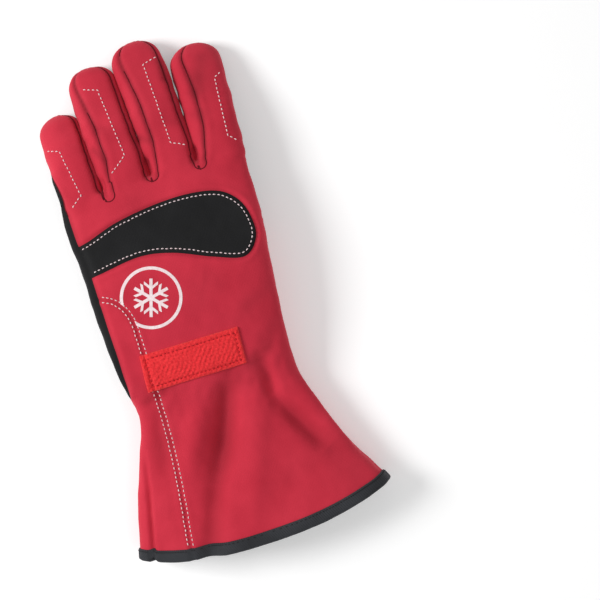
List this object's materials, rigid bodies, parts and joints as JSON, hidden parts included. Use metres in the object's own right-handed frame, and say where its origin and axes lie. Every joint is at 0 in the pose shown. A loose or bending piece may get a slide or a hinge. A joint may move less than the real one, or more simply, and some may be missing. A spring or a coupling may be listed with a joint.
{
  "type": "ski glove",
  "caption": "Gauntlet-style ski glove for the left hand, lined, with jointed fingers, a folded thumb, a flared bound cuff and grip patches.",
  "frame": {"origin": "middle of the flat underside of the gauntlet cuff, on the surface that the glove lies on", "axes": "+X to the thumb side, +Y to the fingertips, +Z out of the back of the hand"},
  "size_m": [0.1566, 0.3154, 0.0423],
  "materials": {
    "red_softshell": "smooth stretch softshell with a soft sheen",
    "black_stretch": "matte fine stretch fabric",
    "grey_suede": "brushed suede with dark red stitching",
    "lining_fleece": "short fleece",
    "binding_tape": "ribbed binding tape",
    "loop_tape": "looped hook-and-loop tape",
    "elastic": "woven elastic"
  },
  "bodies": {
    "hand": {"hand_back_panel": "red_softshell", "knuckle_insert": "black_stretch", "hand_side_gore": "red_softshell", "hand_palm_panel": "black_stretch", "thenar_panel": "red_softshell", "palm_overlay": "grey_suede", "web_gussets": "red_softshell", "thumb_collar": "black_stretch", "hand_liner": "lining_fleece", "wrist_patch": "loop_tape"},
    "cuff": {"cuff_back_panel": "red_softshell", "cuff_side_gore": "red_softshell", "cuff_palm_panel": "red_softshell", "hem_binding": "binding_tape", "wrist_elastic": "elastic", "cuff_liner": "lining_fleece"},
    "thumb_lower": {"thumb_palm_lower": "red_softshell", "thumb_back_lower": "red_softshell", "thumb_liner_lower": "lining_fleece"},
    "thumb_upper": {"thumb_palm_upper": "black_stretch", "thumb_back_upper": "red_softshell", "thumb_liner_upper": "lining_fleece"},
    "index_lower": {"index_back_lower": "red_softshell", "index_palm_lower": "black_stretch", "index_sides_lower": "red_softshell", "index_liner_lower": "lining_fleece"},
    "index_upper": {"index_back_upper": "red_softshell", "index_palm_upper": "black_stretch", "index_sides_upper": "red_softshell", "index_liner_upper": "lining_fleece", "index_tip_patch": "grey_suede"},
    "middle_lower": {"middle_back_lower": "red_softshell", "middle_palm_lower": "black_stretch", "middle_sides_lower": "red_softshell", "middle_liner_lower": "lining_fleece"},
    "middle_upper": {"middle_back_upper": "red_softshell", "middle_palm_upper": "black_stretch", "middle_sides_upper": "red_softshell", "middle_liner_upper": "lining_fleece", "middle_tip_patch": "grey_suede"},
    "ring_lower": {"ring_back_lower": "red_softshell", "ring_palm_lower": "black_stretch", "ring_sides_lower": "red_softshell", "ring_liner_lower": "lining_fleece"},
    "ring_upper": {"ring_back_upper": "red_softshell", "ring_palm_upper": "black_stretch", "ring_sides_upper": "red_softshell", "ring_liner_upper": "lining_fleece", "ring_tip_patch": "grey_suede"},
    "pinky_lower": {"pinky_back_lower": "red_softshell", "pinky_palm_lower": "black_stretch", "pinky_sides_lower": "red_softshell", "pinky_liner_lower": "lining_fleece"},
    "pinky_upper": {"pinky_back_upper": "red_softshell", "pinky_palm_upper": "black_stretch", "pinky_sides_upper": "red_softshell", "pinky_liner_upper": "lining_fleece", "pinky_tip_patch": "grey_suede"}
  },
  "joints": [
    {"name": "wrist_bend", "type": "hinge", "parent": "hand", "child": "cuff", "pos_m": [0, 0.038, 0.014], "axis": [1, 0, 0], "range_deg": [-30, 30]},
    {"name": "index_root", "type": "hinge", "parent": "hand", "child": "index_lower", "pos_m": [0.0457, 0.18, 0.0245], "axis": [-1, 0, 0], "range_deg": [-10, 60]},
    {"name": "index_middle", "type": "hinge", "parent": "index_lower", "child": "index_upper", "pos_m": [0.04718, 0.21257, 0.01937], "axis": [-0.999, 0.0454, 0], "range_deg": [0, 70]},
    {"name": "middle_root", "type": "hinge", "parent": "hand", "child": "middle_lower", "pos_m": [0.0168, 0.18, 0.0245], "axis": [-1, 0, 0], "range_deg": [-10, 60]},
    {"name": "middle_middle", "type": "hinge", "parent": "middle_lower", "child": "middle_upper", "pos_m": [0.01518, 0.21863, 0.01935], "axis": [-0.9991, -0.0419, 0], "range_deg": [0, 70]},
    {"name": "ring_root", "type": "hinge", "parent": "hand", "child": "ring_lower", "pos_m": [-0.0133, 0.18, 0.0245], "axis": [-1, 0, 0], "range_deg": [-10, 60]},
    {"name": "ring_middle", "type": "hinge", "parent": "ring_lower", "child": "ring_upper", "pos_m": [-0.01547, 0.21556, 0.01931], "axis": [-0.9981, -0.061, 0], "range_deg": [0, 70]},
    {"name": "pinky_root", "type": "hinge", "parent": "hand", "child": "pinky_lower", "pos_m": [-0.0425, 0.18, 0.0245], "axis": [-1, 0, 0], "range_deg": [-10, 60]},
    {"name": "pinky_middle", "type": "hinge", "parent": "pinky_lower", "child": "pinky_upper", "pos_m": [-0.04321, 0.20541, 0.01906], "axis": [-0.9996, -0.0279, 0], "range_deg": [0, 70]},
    {"name": "thumb_swing", "type": "hinge", "parent": "hand", "child": "thumb_lower", "pos_m": [0.028, 0.098, 0.0065], "axis": [0, 0, -1], "range_deg": [0, 70]},
    {"name": "thumb_tip_bend", "type": "hinge", "parent": "thumb_lower", "child": "thumb_upper", "pos_m": [0.00906, 0.13771, 0.0065], "axis": [-0.9026, -0.4305, 0], "range_deg": [0, 25]}
  ]
}
